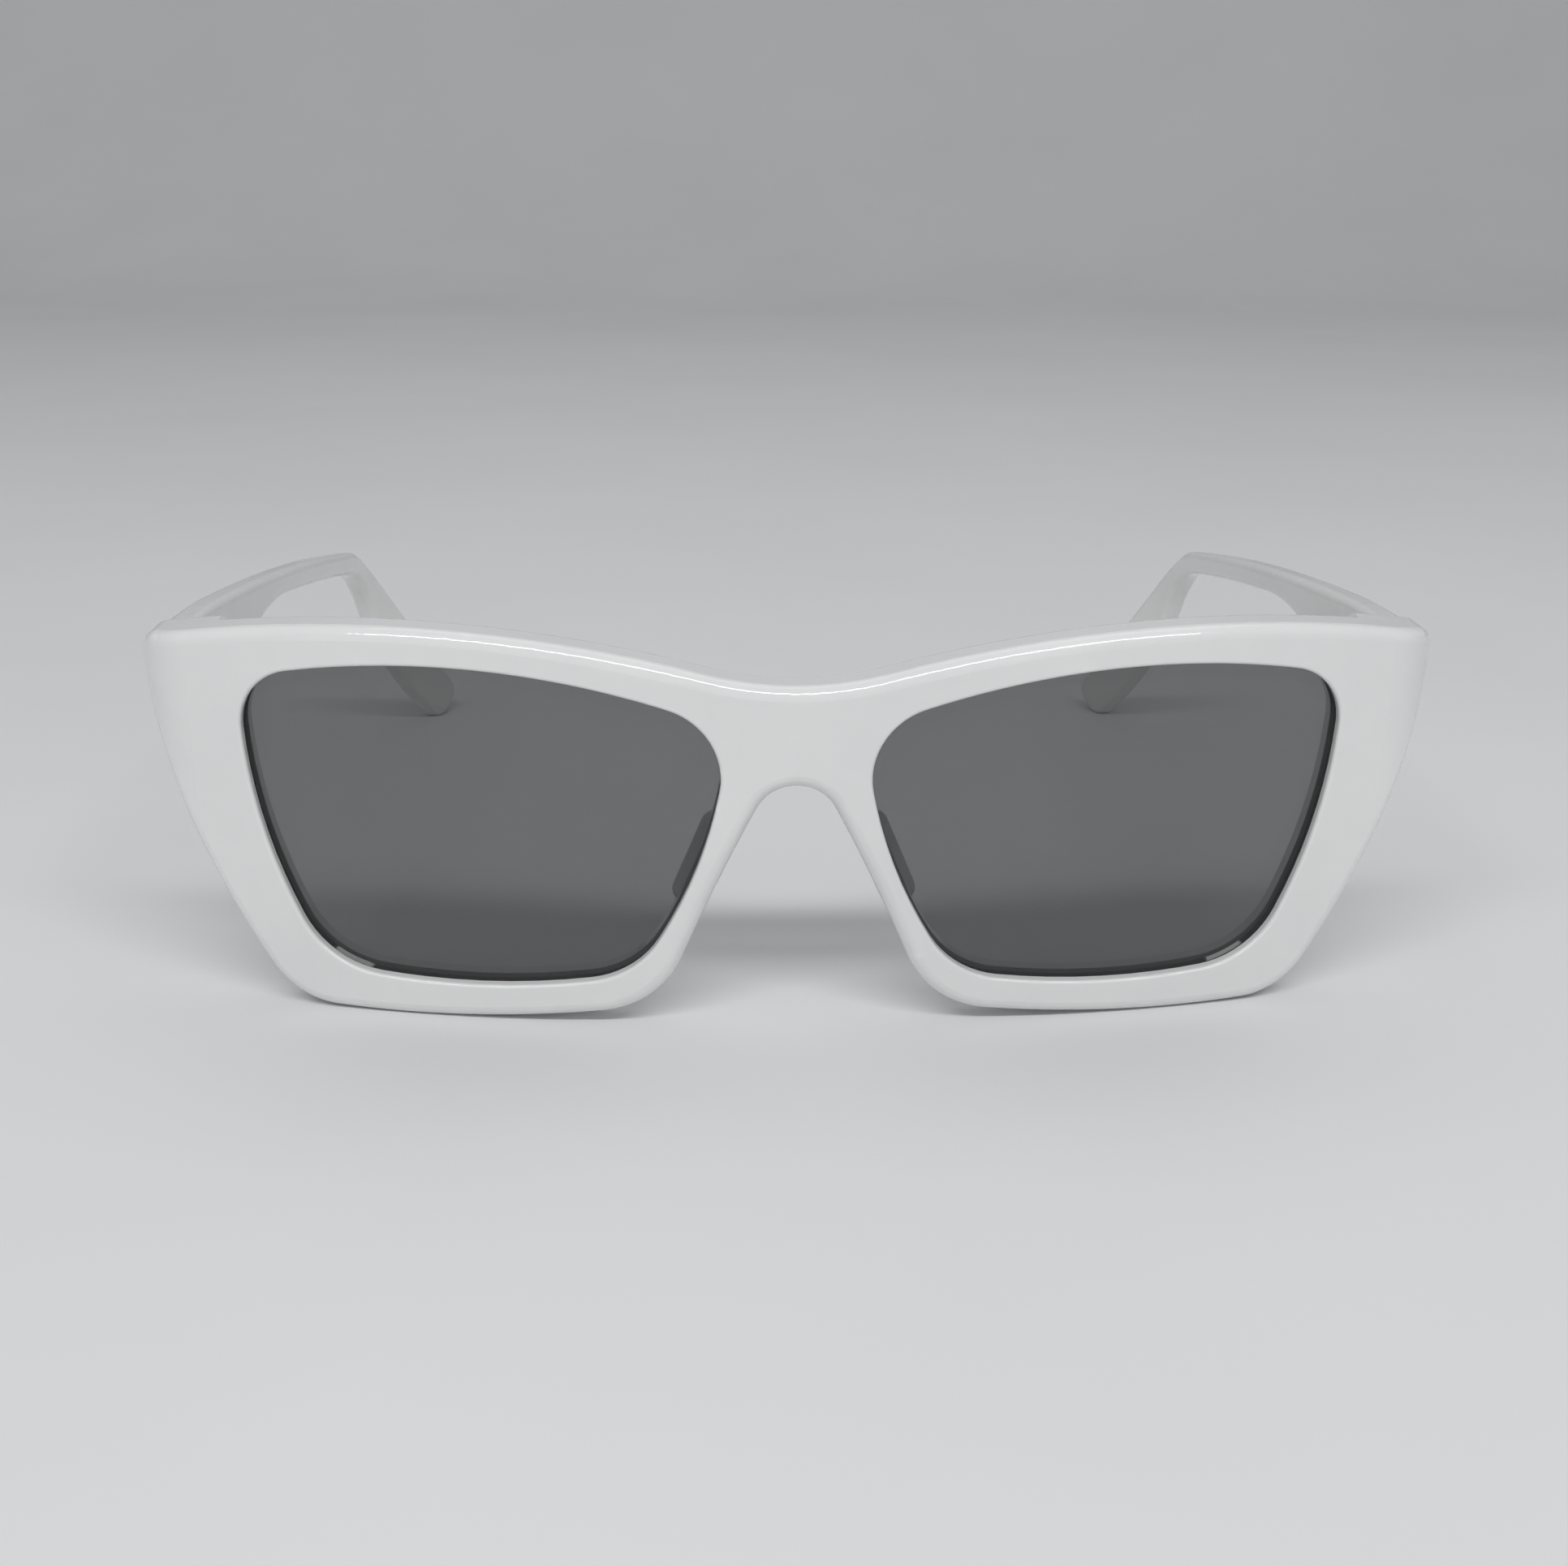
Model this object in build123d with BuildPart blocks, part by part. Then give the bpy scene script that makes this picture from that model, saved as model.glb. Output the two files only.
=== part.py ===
from build123d import *
import os
from math import cos, radians, sin, sqrt

os.makedirs("parts", exist_ok=True)

# Cat eye sunglasses with an acetate frame, resting open on the rims and the temple tips.
# Millimetres and degrees. X runs across the front, Y from the front to the temple tips, Z up.
# Left and right are the wearer's. The left-hand piece (+X) is modelled, the right-hand one mirrors it.

# Front: a sheet bent round an upright axis, with an endpiece that wraps back at each corner
front_radius = 240.0          # bend of the front surface
front_thickness = 5.0
front_tilt = 2.0              # the brow leans this far forward of the rim bottoms
wrap_start = 67.6             # half width where the endpiece starts to wrap back
wrap_radius = 9.0
front_edge_round = 1.5
rear_edge_round = 0.8
rim_lip_round = 0.35

# Outline of the front's left half (+X), as corners (across, up), bulges of its arcs and corner radii
bridge_top = 40.8
brow_dip = (10.0, 42.05)
corner_top = (74.0, 43.2)
corner_bottom = (57.7, 0.45)
nasal_bottom = (15.2, 2.6)
saddle_peak = 34.6
side_bulge = 2.85
bottom_bulge = 1.26
saddle_bulge = 0.66
corner_top_radius = 3.2
corner_bottom_radius = 9.4
nasal_bottom_radius = 11.4
saddle_radius = 4.8

# Lens opening, as corners (across, up), bulges and corner radii, from the nasal top round
opening_corners = ((7.55, 35.9), (61.4, 39.7), (53.4, 5.8), (18.3, 6.6))
opening_bulges = (4.3, 2.7, 1.6, 2.3)
opening_radii = (8.2, 7.1, 10.9, 11.1)

# Lenses
lens_recess = 1.3             # lens front behind the rim front
lens_thickness = 2.0
groove_depth = 0.9            # how far the lens edge goes into the rim
lens_clearance = 0.05
lens_bevel = 0.35

# Endpiece lug, hinge and temple root
lug_inner = 64.3              # half width of the lug's inner side
lug_bottom = 32.6
lug_top_start = (7.5, 45.9)   # the endpiece's top falls away from here (behind the rear surface, up)
lug_top_fall = 22.0
hinge_across = 67.2           # half width at the hinge axis
hinge_back = 20.4             # hinge axis behind the bridge
hinge_up = 37.9
temple_slope = 6.5            # the temples run down towards the tips
hinge_setback = 1.75          # hinge axis behind the lug's butt face
butt_gap = 0.15

barrel_radius = 1.5
knuckle_height = 1.4
knuckle_gap = 0.1
knuckle_count = 5
plate_thickness = 1.0
plate_height = 6.4
plate_width = 4.4
plate_length = 11.0
web_margin = 0.2              # knuckles are rounded back this far where they meet their plate
anchor_depth = 1.6            # feet that hold the plates in the acetate
anchor_width = 2.4            # across the front's foot
anchor_length = 5.0           # along the temple's foot
anchor_height = 3.2
shank_radius = 0.7
shank_clearance = 0.03
screw_head_radius = 1.15
screw_head_height = 0.5
screw_head_round = 0.2
slot_width = 0.35

# Temple, in its own frame: along from the hinge axis, up, and across from the axis
temple_inset = 2.4            # temple's inner face outside the hinge axis
temple_taper = 2.6            # the arm leans in towards the tip
plate_land = 12.0             # the inner face stays square this far, for the hinge plate
arm_thickness = 3.4
root_bottom = -5.0
root_top = 5.2
root_length = 4.0             # the root keeps its full height this far
arm_start = 43.0
arm_height = 3.5
arm_crown = (46.0, 7.0)       # highest point of the top edge
bend_start = (81.0, 5.9)
bend_drop = 43.0              # the tip turns down by this angle
bend_radius = 22.0
bend_height = 5.4             # height of the temple just after its bend
tip_length = 28.3
tip_height = 6.8
tip_turn = 22.5               # and inwards by this one
tip_turn_start = 87.0
tip_turn_radius = 25.0
tip_round = 2.4
temple_edge_round = 1.15

core_radius = 0.65
core_route = ((4.2, 7.6, 0.7), (3.4, 38.0, 4.9), (1.0, 88.5, 3.2), (-7.8, 110.0, -17.8))
core_bends = (40.0, 13.0)     # across, along and up from the hinge axis, and the bends' radii

# Nose pads
pad_across = 10.0
pad_up = 18.6
pad_length = 12.0
pad_width = 3.6
pad_depth = 2.8
pad_splay = 23.0
pad_lean = 22.0
pad_round = 1.2
pad_seat = 0.5                # the pad's base wraps this far round the rim's rear edge

tilt = radians(front_tilt)
slope = radians(temple_slope)
reach = 60.0                  # longer than any cut has to be
touch = 0.01                  # two things this close touch

# Planes of the front: outlines face the wearer's view ahead, plan profiles lie across the tilt
face_plane = Plane((0, 0, 0), x_dir=(1, 0, 0), z_dir=(0, -cos(tilt), -sin(tilt)))
plan_plane = Plane((0, 0, 0), x_dir=(1, 0, 0), z_dir=(0, -sin(tilt), cos(tilt)))

# Planes of a hinge: across and back in the first, back and up in the second
hinge_point = (hinge_across, hinge_back, hinge_up)
hinge_plan = Plane(hinge_point, x_dir=(1, 0, 0), z_dir=(0, sin(slope), cos(slope)))
hinge_side = Plane(hinge_point, x_dir=(0, cos(slope), -sin(slope)), z_dir=(1, 0, 0))


def depth_at(across, behind=0.0):
    """How far back the bent sheet is at a half width, on the surface this far behind its front."""
    return front_radius - sqrt((front_radius - behind) ** 2 - across**2)


def save(piece, label):
    piece.label = label
    export_step(piece, f"parts/{label}.step")


def circle_of(start, end, bulge):
    """Centre and radius of the circle through two points, bulging to the left of their line."""
    chord = Vector(*end) - Vector(*start)
    radius = (chord.length**2 / 4 + bulge**2) / (2 * bulge)
    left = Vector(-chord.Y, chord.X).normalized()
    return Vector(*start) + chord / 2 - left * (radius - bulge), radius


def opening_sketch(grow=0.0):
    """The left lens opening, which four circles share, grown outwards by a distance."""
    corners = opening_corners
    with BuildSketch(face_plane) as opening:
        Rectangle(2 * corner_top[0], 2 * corner_top[0])
        for start, end, bulge in zip(corners, corners[1:] + corners[:1], opening_bulges):
            centre, radius = circle_of(start, end, bulge)
            with Locations(centre):
                Circle(radius + grow, mode=Mode.INTERSECT)
        for corner, radius in zip(corners, opening_radii):
            fillet(opening.vertices().sort_by_distance(corner)[0], radius + grow)
    return opening.sketch


def outline_sketch():
    """The front's outline: brow, corner, rim side, rim bottom and half of the nose saddle, mirrored."""
    with BuildSketch(face_plane) as outline:
        with BuildLine():
            dip = TangentArc((0, bridge_top), brow_dip, tangent=(1, 0))
            TangentArc(dip @ 1, corner_top, tangent=dip % 1)
            SagittaArc(corner_top, corner_bottom, side_bulge)
            SagittaArc(corner_bottom, nasal_bottom, bottom_bulge)
            SagittaArc(nasal_bottom, (0, saddle_peak), -saddle_bulge)
            Line((0, saddle_peak), (0, bridge_top))
        make_face()
        mirror(about=Plane.YZ)
        for corner, radius in (
            (corner_top, corner_top_radius),
            (corner_bottom, corner_bottom_radius),
            (nasal_bottom, nasal_bottom_radius),
        ):
            for side in (1, -1):
                spot = (side * corner[0], corner[1])
                fillet(outline.vertices().sort_by_distance(spot)[0], radius)
        fillet(outline.vertices().sort_by_distance((0, saddle_peak))[0], saddle_radius)
    return outline.sketch


def bent_sheet(front_depth, thickness):
    """A plan profile between two concentric arcs, the first this far behind the front surface."""
    outer = front_radius - front_depth
    with BuildSketch(plan_plane) as profile:
        with Locations((0, front_radius)):
            Circle(outer)
            Circle(outer - thickness, mode=Mode.SUBTRACT)
        Rectangle(2 * corner_top[0], front_radius, align=(Align.CENTER, Align.MIN), mode=Mode.INTERSECT)
    return profile.sketch


def wrapped_profile():
    """Everything behind the front surface in plan, with its wrapped corners."""
    wrap_depth = depth_at(wrap_start)
    wrap_width = wrap_radius * (1 - wrap_start / front_radius)
    wrap_length = wrap_radius * sqrt(1 - (wrap_start / front_radius) ** 2)
    with BuildSketch(plan_plane) as profile:
        with BuildLine():
            front = ThreePointArc((-wrap_start, wrap_depth), (0, 0), (wrap_start, wrap_depth))
            for end, direction, side in ((front @ 0, front % 0 * -1, -1), (front @ 1, front % 1, 1)):
                wrap_end = (end.X + side * wrap_width, end.Y + wrap_length)
                TangentArc(end, wrap_end, tangent=direction)
                Line(wrap_end, (wrap_end[0], reach))
            Line((-wrap_start - wrap_width, reach), (wrap_start + wrap_width, reach))
        make_face()
    return profile.sketch


def among(edge, edges):
    """How many of these edges are this very edge."""
    return sum(edge.is_same(other) for other in edges)


def boundary(part, radii):
    """The outer edges of the round faces with these radii, without the seams between them."""
    rounds = part.faces().filter_by(GeomType.CYLINDER)
    faces = [face for face in rounds if any(abs(face.radius - radius) < touch for radius in radii)]
    edges = [edge for face in faces for edge in face.edges()]
    return [edge for edge in edges if among(edge, edges) == 1]


def off_planes(edge, planes):
    """Whether an edge lies in none of these planes."""
    spots = [edge @ share for share in (0, 0.5, 1)]
    return all(any(abs(plane.to_local_coords(spot).Z) > touch for spot in spots) for plane in planes)


def lens_blank(clearance):
    """The left lens, or with a clearance the groove that it sits in."""
    with BuildPart() as blank:
        with BuildSketch(plan_plane):
            add(bent_sheet(lens_recess - clearance, lens_thickness + 2 * clearance))
        extrude(amount=reach)
        with BuildSketch(face_plane):
            add(opening_sketch(groove_depth + clearance))
        extrude(amount=reach, both=True, mode=Mode.INTERSECT)
    return blank.part


def both_sides(piece, name):
    """Writes a left-hand piece and its mirror image."""
    save(piece, f"{name}_left")
    save(mirror(piece, about=Plane.YZ), f"{name}_right")


# Hinge: five knuckles stacked up the axis, three on the front and two on the temple
knuckle_pitch = knuckle_height + knuckle_gap
stack_height = knuckle_count * knuckle_pitch - knuckle_gap
knuckle_floors = [i * knuckle_pitch - stack_height / 2 for i in range(knuckle_count)]
bore_radius = shank_radius + shank_clearance
web_width = 2 * (barrel_radius - web_margin)
foot_level = hinge_plan.offset(-anchor_height / 2)
plate_level = hinge_plan.offset(-plate_height / 2)

with BuildPart() as hinge_front:
    for floor in knuckle_floors[0::2]:
        with BuildSketch(hinge_plan.offset(floor)):
            Circle(barrel_radius)
            with Locations((0, -hinge_setback)):
                Rectangle(2 * barrel_radius, hinge_setback, align=(Align.CENTER, Align.MIN))
        extrude(amount=knuckle_height)
    with BuildSketch(plate_level):
        with Locations((0, -hinge_setback)):
            Rectangle(plate_width, plate_thickness, align=(Align.CENTER, Align.MAX))
    extrude(amount=plate_height)
    with BuildSketch(foot_level):
        with Locations((0, -hinge_setback - plate_thickness)):
            Rectangle(anchor_width, anchor_depth, align=(Align.CENTER, Align.MAX))
    extrude(amount=anchor_height)
    with BuildSketch(hinge_plan):
        Circle(bore_radius)
    extrude(amount=reach, both=True, mode=Mode.SUBTRACT)

with BuildPart() as hinge_temple:
    for floor in knuckle_floors[1::2]:
        with BuildSketch(hinge_plan.offset(floor)):
            Circle(barrel_radius)
            Rectangle(temple_inset + plate_thickness, web_width, align=(Align.MIN, Align.CENTER))
        extrude(amount=knuckle_height)
    with BuildSketch(plate_level):
        with Locations((temple_inset, -web_width / 2)):
            Rectangle(plate_thickness, plate_length, align=(Align.MIN, Align.MIN))
    extrude(amount=plate_height)
    with BuildSketch(foot_level):
        with Locations((temple_inset + plate_thickness, 2 * barrel_radius)):
            Rectangle(anchor_depth, anchor_length, align=(Align.MIN, Align.MIN))
    extrude(amount=anchor_height)
    with BuildSketch(hinge_plan):
        Circle(bore_radius)
    extrude(amount=reach, both=True, mode=Mode.SUBTRACT)

with BuildPart() as hinge_screw:
    screw_top = stack_height / 2
    with BuildSketch(hinge_plan.offset(-screw_top)):
        Circle(shank_radius)
    extrude(amount=stack_height)
    with BuildSketch(hinge_plan.offset(screw_top)):
        Circle(screw_head_radius)
    extrude(amount=screw_head_height)
    fillet(hinge_screw.faces().sort_by(Axis(hinge_point, hinge_plan.z_dir))[-1].edges(), screw_head_round)
    with BuildSketch(hinge_plan.offset(screw_top + screw_head_height)):
        Rectangle(2 * screw_head_radius, slot_width)
    extrude(amount=-screw_head_height / 2, mode=Mode.SUBTRACT)


# Front frame
groove = lens_blank(lens_clearance)
fall_normal = (0, sin(radians(lug_top_fall)), cos(radians(lug_top_fall)))
fall_start = (0, front_thickness + lug_top_start[0], lug_top_start[1])
fall_plane = Plane(fall_start, x_dir=(1, 0, 0), z_dir=fall_normal)
butt_plane = Plane(hinge_plan.from_local_coords(Vector(0, -hinge_setback, 0)), z_dir=hinge_plan.y_dir)

with BuildPart() as front_frame:
    with BuildSketch(plan_plane):
        add(wrapped_profile())
        with Locations((0, front_radius)):
            Circle(front_radius - front_thickness, mode=Mode.SUBTRACT)
    extrude(amount=reach)
    with BuildSketch(plan_plane.offset(lug_bottom)):
        add(wrapped_profile())
        Rectangle(2 * lug_inner, 2 * reach + 1, mode=Mode.SUBTRACT)
    extrude(amount=reach)
    with BuildSketch(face_plane):
        add(outline_sketch())
    extrude(amount=reach, both=True, mode=Mode.INTERSECT)
    split(bisect_by=fall_plane, keep=Keep.BOTTOM)
    split(bisect_by=butt_plane, keep=Keep.BOTTOM)
    fillet(boundary(front_frame, (front_radius, wrap_radius)), front_edge_round)
    fall_edges = [edge for face in front_frame.faces().filter_by(fall_plane) for edge in face.edges()]
    lug_sides = [Plane.YZ.offset(side * lug_inner) for side in (1, -1)]
    fillet([edge for edge in fall_edges if off_planes(edge, [butt_plane, *lug_sides])], front_edge_round)
    fillet(boundary(front_frame, (front_radius - front_thickness,)), rear_edge_round)
    with BuildSketch(face_plane):
        add(opening_sketch())
        mirror(about=Plane.YZ)
    extrude(amount=reach, both=True, mode=Mode.SUBTRACT)
    rim_edges = front_frame.edges(Select.LAST)
    lips = [edge for edge in boundary(front_frame, (front_radius,)) if among(edge, rim_edges)]
    fillet(lips, rim_lip_round)
    add([groove, mirror(groove, about=Plane.YZ, mode=Mode.PRIVATE)], mode=Mode.SUBTRACT)
    root_face = front_frame.faces().filter_by(butt_plane).sort_by(Axis.X)[-1]
    add([hinge_front.part, mirror(hinge_front.part, about=Plane.YZ, mode=Mode.PRIVATE)], mode=Mode.SUBTRACT)

# Lens
with BuildPart() as lens:
    add(lens_blank(0))
    chamfer(lens.edges(), lens_bevel)


# Nose pad
pad_spot = plan_plane.from_local_coords(Vector(pad_across, depth_at(pad_across, front_thickness), pad_up))
pad_seat_plane = Plane(pad_spot, x_dir=(1, 0, 0), z_dir=plan_plane.y_dir)
pad_plane = pad_seat_plane.rotated((0, -pad_lean, -pad_splay)).offset(-pad_seat)

with BuildPart() as nose_pad:
    with BuildSketch(pad_plane):
        SlotOverall(pad_length, pad_width, rotation=90)
    extrude(amount=pad_depth + pad_seat)
    crest = pad_plane.offset(pad_depth + pad_seat)
    fillet(nose_pad.faces().sort_by_distance(crest.origin)[0].edges(), pad_round)
    add([front_frame.part, groove], mode=Mode.SUBTRACT)


# Temple
def below(curve, share, distance):
    """A point this far under a curve that runs from left to right."""
    direction = curve % share
    return curve @ share + Vector(direction.Y, -direction.X) * distance


root_front = -hinge_setback + butt_gap
outer_face = wrap_start + wrap_radius * (1 - wrap_start / front_radius) - hinge_across
bend_along = bend_start[0]
outer_lean = (tip_turn_start - root_front) * sin(radians(temple_taper))
outer_bend = (outer_face - outer_lean, tip_turn_start)
inner_bend_start = (outer_bend[0] - arm_thickness, tip_turn_start)

with BuildSketch(hinge_side) as side_view:
    with BuildLine():
        crown = ThreePointArc((root_front, root_top), arm_crown, bend_start)
        bend = JernArc(crown @ 1, crown % 1, bend_radius, -bend_drop)
        tip_top = PolarLine(bend @ 1, tip_length, direction=bend % 1)
        tip_end = Line(tip_top @ 1, below(tip_top, 1, tip_height))
        inner_bend = TangentArc(below(crown, 1, arm_height), below(bend, 1, bend_height), tangent=crown % 1)
        TangentArc(inner_bend @ 1, tip_end @ 1, tangent=inner_bend % 1)
        arm_share = (arm_start - root_front) / (bend_along - root_front)
        middle = below(crown, (1 + arm_share) / 2, arm_height)
        under = ThreePointArc(below(crown, arm_share, arm_height), middle, inner_bend @ 0)
        root = Line((root_front, root_top), (root_front, root_bottom))
        flat = Line(root @ 1, (root_front + root_length, root_bottom))
        Spline(flat @ 1, under @ 0, tangents=(flat % 1, under % 0))
    make_face()
    for corner in (tip_end @ 0, tip_end @ 1):
        fillet(side_view.vertices().sort_by_distance(corner)[0], tip_round)

with BuildSketch(hinge_plan) as plan_view:
    with BuildLine():
        outer = Line((outer_face, root_front), outer_bend)
        turn = JernArc(outer @ 1, outer % 1, tip_turn_radius, tip_turn)
        outer_tip = PolarLine(turn @ 1, reach, direction=turn % 1)
        inner_turn = JernArc(inner_bend_start, outer % 1, tip_turn_radius - arm_thickness, tip_turn)
        inner_tip = PolarLine(inner_turn @ 1, reach, direction=inner_turn % 1)
        Line(outer_tip @ 1, inner_tip @ 1)
        land = Line((temple_inset, root_front), (temple_inset, plate_land))
        Line(land @ 1, inner_turn @ 0)
        Line(land @ 0, outer @ 0)
    make_face()

# What is cut off the root, so that it carries on from the lug's butt face and fades into the arm
root_direction = hinge_side.from_local_coords(crown % 0) - Vector(hinge_point)
with BuildPart() as root_trim:
    with BuildSketch(butt_plane):
        Rectangle(2 * reach, 2 * reach)
    extrude(amount=arm_start)
    extrude(root_face, amount=reach, dir=root_direction, mode=Mode.SUBTRACT)

with BuildPart() as core_wire:
    with BuildLine(hinge_plan) as route:
        FilletPolyline(*core_route, radius=core_bends)
    with BuildSketch(Plane(route.line @ 0, z_dir=route.line % 0)):
        Circle(core_radius)
    sweep()
    add(hinge_temple.part, mode=Mode.SUBTRACT)

with BuildPart() as temple:
    extrude(side_view.sketch, amount=reach, both=True)
    extrude(plan_view.sketch, amount=reach, both=True, mode=Mode.INTERSECT)
    root_end = temple.faces().filter_by(butt_plane).sort_by_distance(hinge_point)[0]
    fillet([edge for edge in temple.edges() if not among(edge, root_end.edges())], temple_edge_round)
    add(root_trim.part, mode=Mode.SUBTRACT)
    add([hinge_temple.part, core_wire.part], mode=Mode.SUBTRACT)


# The origin is under the middle of the open sunglasses, on the surface they rest on
box = front_frame.part.bounding_box().add(temple.part.bounding_box())
to_origin = Pos(0, -box.center().Y, -box.min.Z)

save(to_origin * front_frame.part, "front_frame")
for piece, name in (
    (lens, "lens"),
    (nose_pad, "nose_pad"),
    (hinge_front, "hinge_front"),
    (hinge_screw, "hinge_screw"),
    (hinge_temple, "hinge_temple"),
    (temple, "temple"),
    (core_wire, "core_wire"),
):
    both_sides(to_origin * piece.part, name)

print("size", box.size)
print("hinge axis point", to_origin * Location(hinge_point))
print("hinge axis direction", hinge_plan.z_dir)
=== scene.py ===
from math import cos, radians, sin

import bpy
from mathutils import Matrix, Vector

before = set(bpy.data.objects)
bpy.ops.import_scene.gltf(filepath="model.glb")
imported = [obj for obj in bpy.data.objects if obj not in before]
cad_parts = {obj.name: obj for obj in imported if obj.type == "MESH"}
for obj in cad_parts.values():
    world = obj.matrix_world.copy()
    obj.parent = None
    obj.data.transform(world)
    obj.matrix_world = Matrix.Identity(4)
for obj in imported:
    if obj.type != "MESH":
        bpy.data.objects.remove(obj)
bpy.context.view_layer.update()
print("frame loaded:", len(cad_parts), "nodes")


# shader groups shared by the materials

def newGroup(name, inputs, outputs):
    group = bpy.data.node_groups.new(name, "ShaderNodeTree")
    for label, kind, value in inputs:
        socket = group.interface.new_socket(name=label, in_out="INPUT", socket_type=kind)
        if value is not None:
            socket.default_value = value
    for label, kind in outputs:
        group.interface.new_socket(name=label, in_out="OUTPUT", socket_type=kind)
    return group, group.nodes.new("NodeGroupInput"), group.nodes.new("NodeGroupOutput")


def noiseNode(tree, vector, scale, detail=4.0, roughness=0.55):
    noise = tree.nodes.new("ShaderNodeTexNoise")
    noise.inputs["Scale"].default_value = scale
    noise.inputs["Detail"].default_value = detail
    noise.inputs["Roughness"].default_value = roughness
    tree.links.new(vector, noise.inputs["Vector"])
    return noise


def feed(tree, value, socket):
    # links another node's output, or sets a plain value
    if isinstance(value, bpy.types.NodeSocket):
        tree.links.new(value, socket)
    else:
        socket.default_value = value


def mapRange(tree, value, lowIn, highIn, lowOut, highOut):
    node = tree.nodes.new("ShaderNodeMapRange")
    tree.links.new(value, node.inputs["Value"])
    limits = (("From Min", lowIn), ("From Max", highIn), ("To Min", lowOut), ("To Max", highOut))
    for label, amount in limits:
        feed(tree, amount, node.inputs[label])
    return node.outputs["Result"]


def maths(tree, operation, first, second):
    node = tree.nodes.new("ShaderNodeMath")
    node.operation = operation
    for socket, value in zip(node.inputs, (first, second)):
        feed(tree, value, socket)
    return node.outputs["Value"]


def mixColour(tree, factor, first, second):
    node = tree.nodes.new("ShaderNodeMix")
    node.data_type = "RGBA"
    tree.links.new(factor, node.inputs["Factor"])
    feed(tree, first, node.inputs["A"])
    feed(tree, second, node.inputs["B"])
    return node.outputs["Result"]


def makeCrestWearAndHighlight():
    # white on the crests that hands and tables rub, black in the rest; on metal it marks edges
    # rubbed bright, on acetate it lightens the crests as a painted highlight
    group, given, out = newGroup(
        "edgeWear",
        [("Position", "NodeSocketVector", None), ("Low", "NodeSocketFloat", 0.52),
         ("High", "NodeSocketFloat", 0.6), ("Scale", "NodeSocketFloat", 400.0)],
        [("Mask", "NodeSocketFloat")])
    geometry = group.nodes.new("ShaderNodeNewGeometry")
    low, high = given.outputs["Low"], given.outputs["High"]
    crest = mapRange(group, geometry.outputs["Pointiness"], low, high, 0.0, 1.0)
    patches = noiseNode(group, given.outputs["Position"], 1.0, 3.0)
    group.links.new(given.outputs["Scale"], patches.inputs["Scale"])
    broken = mapRange(group, patches.outputs["Fac"], 0.4, 0.62, 0.15, 1.0)
    group.links.new(maths(group, "MULTIPLY", crest, broken), out.inputs["Mask"])
    return group


def makeHandling():
    # faint smears from fingers and fine polishing scratches, as two masks
    group, given, out = newGroup(
        "handling",
        [("Position", "NodeSocketVector", None), ("Smear Scale", "NodeSocketFloat", 60.0),
         ("Scratch Scale", "NodeSocketFloat", 500.0)],
        [("Smears", "NodeSocketFloat"), ("Scratches", "NodeSocketFloat")])
    smears = noiseNode(group, given.outputs["Position"], 1.0, 5.0, 0.6)
    group.links.new(given.outputs["Smear Scale"], smears.inputs["Scale"])
    smearMask = mapRange(group, smears.outputs["Fac"], 0.42, 0.72, 0.0, 1.0)
    stretch = group.nodes.new("ShaderNodeMapping")
    stretch.inputs["Scale"].default_value = (0.12, 1.0, 1.0)
    stretch.inputs["Rotation"].default_value = (radians(20), radians(12), radians(31))
    group.links.new(given.outputs["Position"], stretch.inputs["Vector"])
    fine = noiseNode(group, stretch.outputs["Vector"], 1.0, 2.0, 0.4)
    group.links.new(given.outputs["Scratch Scale"], fine.inputs["Scale"])
    scratchMask = mapRange(group, fine.outputs["Fac"], 0.6, 0.68, 0.0, 1.0)
    group.links.new(smearMask, out.inputs["Smears"])
    group.links.new(scratchMask, out.inputs["Scratches"])
    return group


edgeWear = makeCrestWearAndHighlight()
handling = makeHandling()


def place(tree, group, position, **values):
    node = tree.nodes.new("ShaderNodeGroup")
    node.node_tree = group
    tree.links.new(position, node.inputs["Position"])
    for label, value in values.items():
        node.inputs[label.replace("_", " ")].default_value = value
    return node


def newMaterial(name):
    material = bpy.data.materials.new(name)
    material.use_nodes = True
    tree = material.node_tree
    shader = tree.nodes["Principled BSDF"]
    position = tree.nodes.new("ShaderNodeTexCoord").outputs["Object"]
    return material, tree, shader, position


def addBump(tree, shader, height, strength, distance):
    bump = tree.nodes.new("ShaderNodeBump")
    bump.inputs["Strength"].default_value = strength
    bump.inputs["Distance"].default_value = distance
    tree.links.new(height, bump.inputs["Height"])
    tree.links.new(bump.outputs["Normal"], shader.inputs["Normal"])


# acetate of the front, the temples and the nose pads

acetate = {
    "front": (0.775, 0.78, 0.77, 1.0),
    "frontCloud": (0.735, 0.742, 0.735, 1.0),
    "temple": (0.75, 0.755, 0.74, 1.0),
    "templeCloud": (0.71, 0.715, 0.70, 1.0),
    "pad": (0.76, 0.775, 0.77, 1.0),
    "padCloud": (0.72, 0.735, 0.725, 1.0),
    # painted highlight: lighter acetate colour laid on the convex crests
    "crestHighlight": (0.85, 0.86, 0.855, 1.0),
    "roughness": (0.09, 0.17),
    "scratchDepth": 0.06,   # how much a scratch roughens the polish
    "cloudScale": 45.0,
    "smearScale": 70.0,
    "scratchScale": 650.0,
    "crestMaskScale": 350.0,
    "crestMask": (0.53, 0.62),
    "ior": 1.48,
    "glow": 0.12,           # light that goes a little way in
    "glowRadius": (0.0012, 0.0011, 0.001),
    "coat": 0.6,
    "coatRoughness": 0.03,
    "peelScale": 700.0,
    "peel": 0.05,
    "peelHeight": 0.0002,
}


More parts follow.
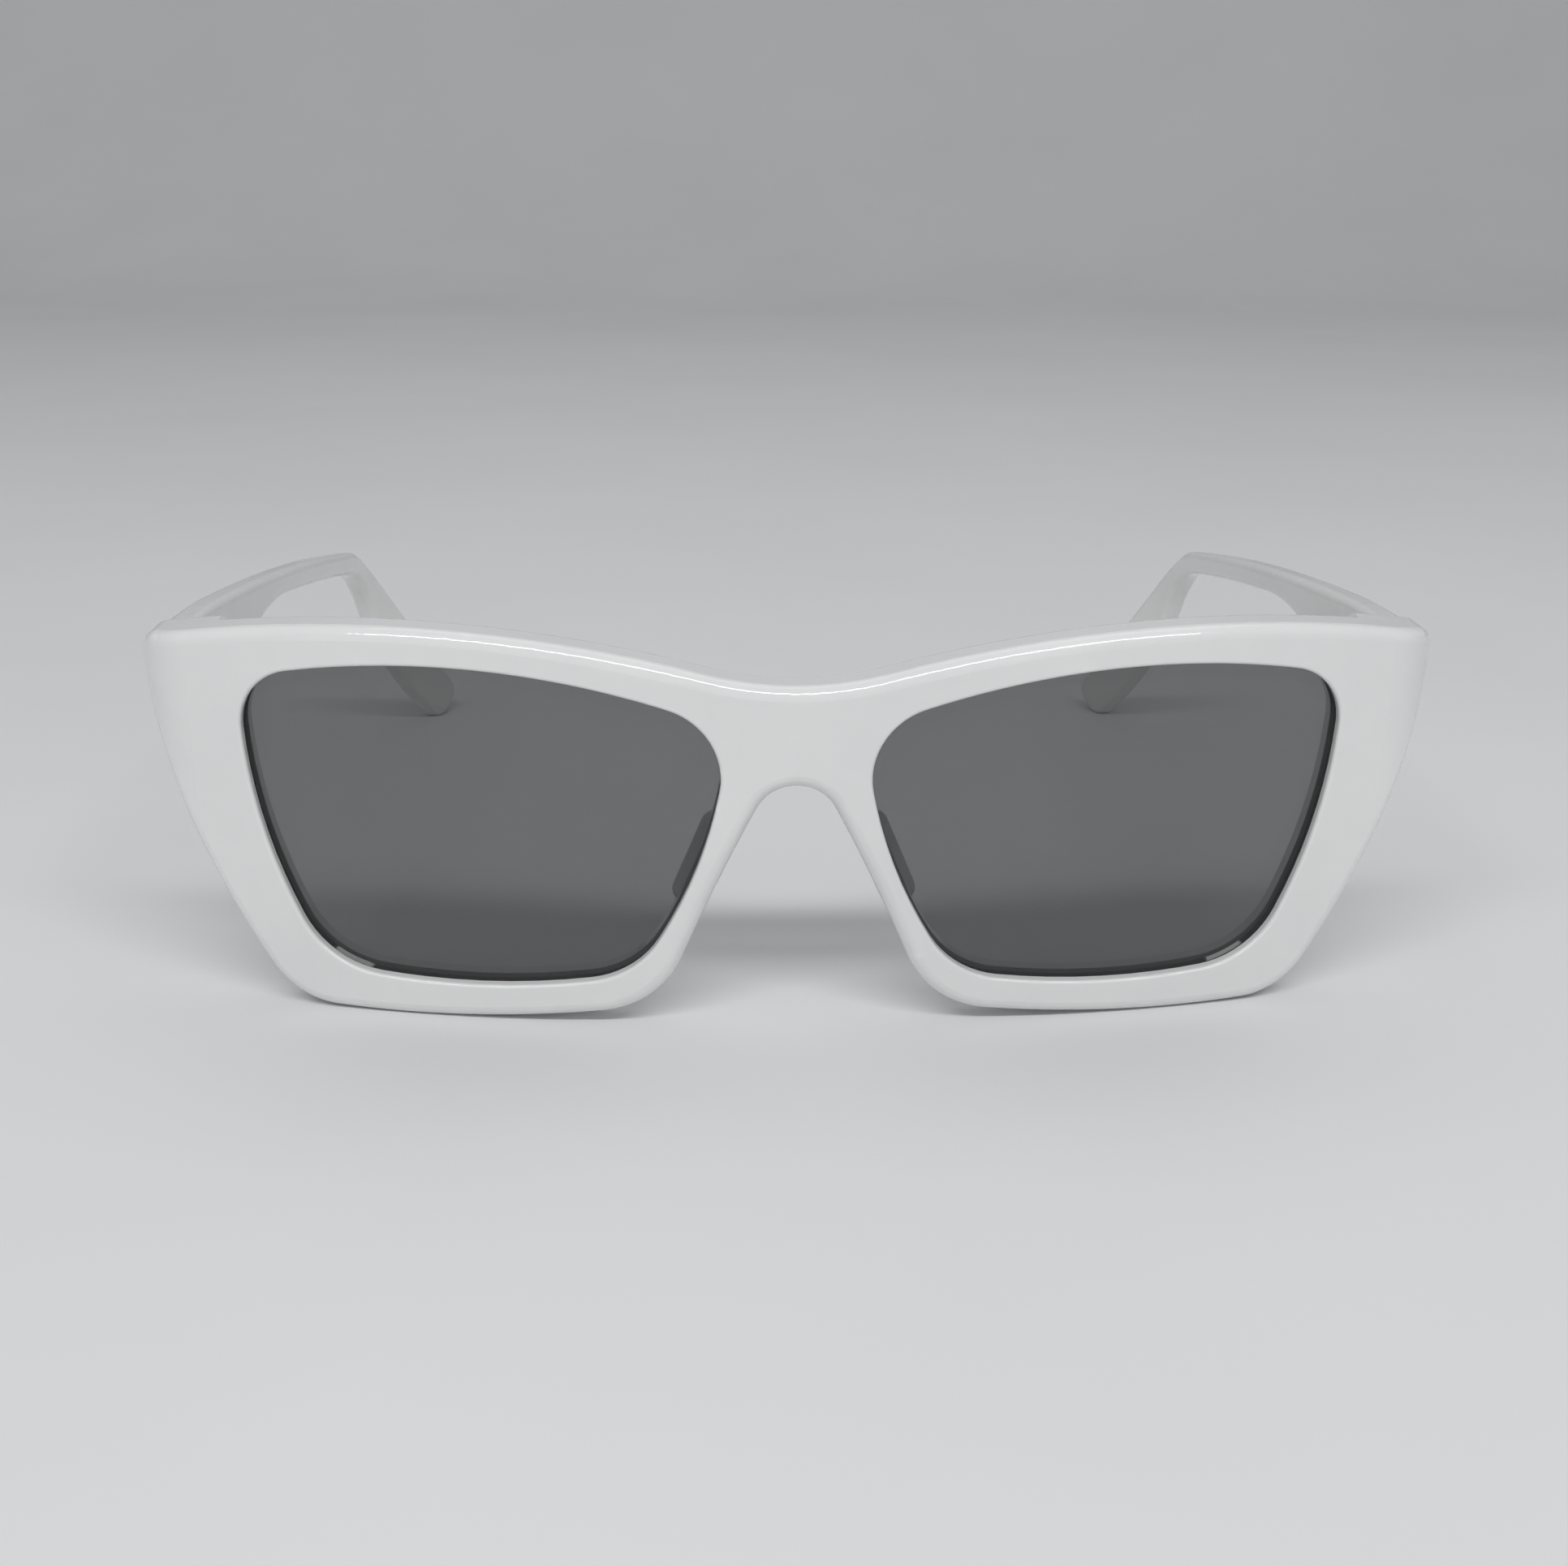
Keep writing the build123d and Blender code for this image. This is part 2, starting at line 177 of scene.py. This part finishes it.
def makeAcetate(name, colour, cloud):
    material, tree, shader, position = newMaterial(name)
    clouds = noiseNode(tree, position, acetate["cloudScale"], 5.0, 0.6)
    cloudMask = mapRange(tree, clouds.outputs["Fac"], 0.35, 0.7, 0.0, 1.0)
    marks = place(tree, handling, position,
                  Smear_Scale=acetate["smearScale"], Scratch_Scale=acetate["scratchScale"])
    low, high = acetate["crestMask"]
    crestMask = place(tree, edgeWear, position, Low=low, High=high, Scale=acetate["crestMaskScale"])
    base = mixColour(tree, cloudMask, colour, cloud)
    # painted highlight: the crests are lightened to a brighter acetate colour
    base = mixColour(tree, crestMask.outputs["Mask"], base, acetate["crestHighlight"])
    tree.links.new(base, shader.inputs["Base Color"])
    polish = mapRange(tree, marks.outputs["Smears"], 0.0, 1.0, *acetate["roughness"])
    scratched = maths(tree, "MULTIPLY", marks.outputs["Scratches"], acetate["scratchDepth"])
    tree.links.new(maths(tree, "ADD", polish, scratched), shader.inputs["Roughness"])
    shader.inputs["IOR"].default_value = acetate["ior"]
    shader.inputs["Subsurface Weight"].default_value = acetate["glow"]
    shader.inputs["Subsurface Radius"].default_value = acetate["glowRadius"]
    shader.inputs["Subsurface Scale"].default_value = 1.0
    shader.inputs["Coat Weight"].default_value = acetate["coat"]
    shader.inputs["Coat Roughness"].default_value = acetate["coatRoughness"]
    peel = noiseNode(tree, position, acetate["peelScale"], 2.0, 0.5)
    addBump(tree, shader, peel.outputs["Fac"], acetate["peel"], acetate["peelHeight"])
    return material


# lenses

lensTint = {
    "middle": (0.03, 0.03, 0.031, 1.0),
    # painted shade: darker tint for the sideways-facing lens rim, standing in for the gap shadow
    "edge": (0.012, 0.012, 0.013, 1.0),
    "alpha": 0.56,
    "edgeAlpha": 0.97,
    "turned": (0.93, 0.8),  # how squarely the glass faces ahead, from clear to edge
    "roughness": (0.03, 0.09),
    "smearScale": 55.0,
    "scratchScale": 900.0,
    "ior": 1.5,
    "coat": 0.2,
    "coatRoughness": 0.03,
    "scratch": 0.02,
    "scratchHeight": 0.00005,
}


def makeLens():
    material, tree, shader, position = newMaterial("lensGrey")
    marks = place(tree, handling, position,
                  Smear_Scale=lensTint["smearScale"], Scratch_Scale=lensTint["scratchScale"])
    # the bevelled rim of the lens faces sideways; there it is painted dark and near opaque as the
    # shade in the gap between lens and frame
    geometry = tree.nodes.new("ShaderNodeNewGeometry")
    parts = tree.nodes.new("ShaderNodeSeparateXYZ")
    tree.links.new(geometry.outputs["Normal"], parts.inputs["Vector"])
    facing = maths(tree, "ABSOLUTE", parts.outputs["Y"], 0.0)
    rim = mapRange(tree, facing, *lensTint["turned"], 0.0, 1.0)
    shadedTint = mixColour(tree, rim, lensTint["middle"], lensTint["edge"])
    tree.links.new(shadedTint, shader.inputs["Base Color"])
    cover = mapRange(tree, rim, 0.0, 1.0, lensTint["alpha"], lensTint["edgeAlpha"])
    tree.links.new(cover, shader.inputs["Alpha"])
    polish = mapRange(tree, marks.outputs["Smears"], 0.0, 1.0, *lensTint["roughness"])
    tree.links.new(polish, shader.inputs["Roughness"])
    shader.inputs["IOR"].default_value = lensTint["ior"]
    shader.inputs["Coat Weight"].default_value = lensTint["coat"]
    shader.inputs["Coat Roughness"].default_value = lensTint["coatRoughness"]
    addBump(tree, shader, marks.outputs["Scratches"], lensTint["scratch"], lensTint["scratchHeight"])
    return material


# metal of the hinges, screws and core wires

metal = {
    "hinge": (0.56, 0.555, 0.545, 1.0),
    "hingeDull": (0.48, 0.475, 0.465, 1.0),
    "screw": (0.66, 0.655, 0.64, 1.0),
    "screwDull": (0.42, 0.415, 0.40, 1.0),
    "wire": (0.5, 0.5, 0.49, 1.0),
    "wireDull": (0.34, 0.34, 0.33, 1.0),
    "bright": (0.82, 0.82, 0.8, 1.0),
    "brushScale": 3500.0,
    "brushStretch": (1.0, 0.06, 1.0),
    "tarnishScale": 500.0,
    "crestMask": (0.51, 0.58),
    "crestMaskScale": 900.0,
    "grainHeight": 0.00005,
}


def makeMetal(name, colour, dull, smooth, rough, grain):
    # brushed along the piece, from a smooth to a rough polish
    material, tree, shader, position = newMaterial(name)
    stretch = tree.nodes.new("ShaderNodeMapping")
    stretch.inputs["Scale"].default_value = metal["brushStretch"]
    tree.links.new(position, stretch.inputs["Vector"])
    brushed = noiseNode(tree, stretch.outputs["Vector"], metal["brushScale"], 3.0, 0.5)
    tarnish = noiseNode(tree, position, metal["tarnishScale"], 4.0, 0.6)
    dulled = mapRange(tree, tarnish.outputs["Fac"], 0.4, 0.7, 0.0, 1.0)
    low, high = metal["crestMask"]
    crestMask = place(tree, edgeWear, position, Low=low, High=high, Scale=metal["crestMaskScale"])
    base = mixColour(tree, dulled, colour, dull)
    base = mixColour(tree, crestMask.outputs["Mask"], base, metal["bright"])
    tree.links.new(base, shader.inputs["Base Color"])
    polish = mapRange(tree, brushed.outputs["Fac"], 0.3, 0.7, smooth, rough)
    tree.links.new(polish, shader.inputs["Roughness"])
    shader.inputs["Metallic"].default_value = 1.0
    addBump(tree, shader, brushed.outputs["Fac"], grain, metal["grainHeight"])
    return material


finishes = {
    "front_frame": makeAcetate("frontAcetate", acetate["front"], acetate["frontCloud"]),
    "temple": makeAcetate("templeAcetate", acetate["temple"], acetate["templeCloud"]),
    "nose_pad": makeAcetate("padAcetate", acetate["pad"], acetate["padCloud"]),
    "lens": makeLens(),
    "hinge_front": makeMetal("hingeSteel", metal["hinge"], metal["hingeDull"], 0.22, 0.38, 0.25),
    "hinge_screw": makeMetal("screwSteel", metal["screw"], metal["screwDull"], 0.12, 0.26, 0.1),
    "core_wire": makeMetal("wireSteel", metal["wire"], metal["wireDull"], 0.25, 0.42, 0.3),
}
finishes["hinge_temple"] = finishes["hinge_front"]


def dress(name, node):
    family = name.removesuffix("_left").removesuffix("_right")
    node.data.materials.clear()
    node.data.materials.append(finishes[family])


for name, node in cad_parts.items():
    dress(name, node)
print("materials:", len(finishes))


# floor, light and camera

studio = {
    "floorWidth": 4.0,
    "floorFront": -2.0,
    "floorBack": 1.0,
    "sweepRadius": 0.5,
    "wallTop": 2.0,
    "sweepSteps": 16,
    "floor": (0.78, 0.78, 0.78, 1.0),
    "floorCloud": (0.75, 0.75, 0.755, 1.0),
    "world": (0.86, 0.89, 0.92, 1.0),
    "worldStrength": 0.42,
    "paperScale": 8.0,
    "paperRoughness": 0.75,
}


def makeFloor():
    # paper that lies flat, then sweeps up behind
    radius = studio["sweepRadius"]
    profile = [(studio["floorFront"], 0.0), (studio["floorBack"], 0.0)]
    for step in range(1, studio["sweepSteps"] + 1):
        angle = radians(90) * step / studio["sweepSteps"]
        profile.append((studio["floorBack"] + radius * sin(angle), radius * (1 - cos(angle))))
    profile.append((studio["floorBack"] + radius, studio["wallTop"]))
    mesh = bpy.data.meshes.new("floor")
    half = studio["floorWidth"] / 2
    points = [(side * half, y, z) for y, z in profile for side in (-1, 1)]
    faces = [(2 * i, 2 * i + 1, 2 * i + 3, 2 * i + 2) for i in range(len(profile) - 1)]
    mesh.from_pydata(points, [], faces)
    mesh.shade_smooth()
    floor = bpy.data.objects.new("floor", mesh)
    bpy.context.scene.collection.objects.link(floor)
    material, tree, shader, position = newMaterial("floorPaper")
    grain = noiseNode(tree, position, studio["paperScale"])
    mask = mapRange(tree, grain.outputs["Fac"], 0.3, 0.7, 0.0, 1.0)
    paper = mixColour(tree, mask, studio["floor"], studio["floorCloud"])
    tree.links.new(paper, shader.inputs["Base Color"])
    shader.inputs["Roughness"].default_value = studio["paperRoughness"]
    floor.data.materials.append(material)


lamps = {  # place, target, size, power in watts
    "keyStrip": ((0, -0.58, 0.74), (0, -0.05, 0.02), (1.1, 0.08), 4.6),
    "frontFill": ((-0.2, -1.0, 0.25), (0, 0, 0.02), (1.2, 0.5), 0.6),
    "topFill": ((0.1, 0.3, 0.9), (0, 0, 0.02), (0.9, 0.5), 0.8),
}


def addLight(name, place, target, size, power):
    data = bpy.data.lights.new(name, "AREA")
    data.shape = "RECTANGLE"
    data.size, data.size_y = size
    data.energy = power
    light = bpy.data.objects.new(name, data)
    light.location = place
    light.rotation_euler = (Vector(target) - Vector(place)).to_track_quat("-Z", "Y").to_euler()
    bpy.context.scene.collection.objects.link(light)


makeFloor()
for name, lamp in lamps.items():
    addLight(name, *lamp)

world = bpy.data.worlds.new("softRoom")
world.use_nodes = True
world.node_tree.nodes["Background"].inputs["Color"].default_value = studio["world"]
world.node_tree.nodes["Background"].inputs["Strength"].default_value = studio["worldStrength"]
bpy.context.scene.world = world
bpy.context.scene.view_settings.view_transform = "Standard"

eye = {
    "place": (-0.00741, -0.25821, 0.09451),
    "pitch": -18.574,
    "yaw": 1.788,   # towards +X
    "roll": 0.298,
    "lens": 42.86,
    "sensor": 36.0,
}


def makeCamera():
    data = bpy.data.cameras.new("eye")
    data.lens = eye["lens"]
    data.sensor_width = eye["sensor"]
    data.clip_start = 0.01
    camera = bpy.data.objects.new("eye", data)
    turn = Matrix.Rotation(radians(-eye["yaw"]), 4, "Z")
    tip = Matrix.Rotation(radians(90 + eye["pitch"]), 4, "X")
    roll = Matrix.Rotation(radians(eye["roll"]), 4, "Z")
    camera.matrix_world = Matrix.Translation(eye["place"]) @ turn @ tip @ roll
    bpy.context.scene.collection.objects.link(camera)
    bpy.context.scene.camera = camera


makeCamera()
print("floor, lights and camera made")
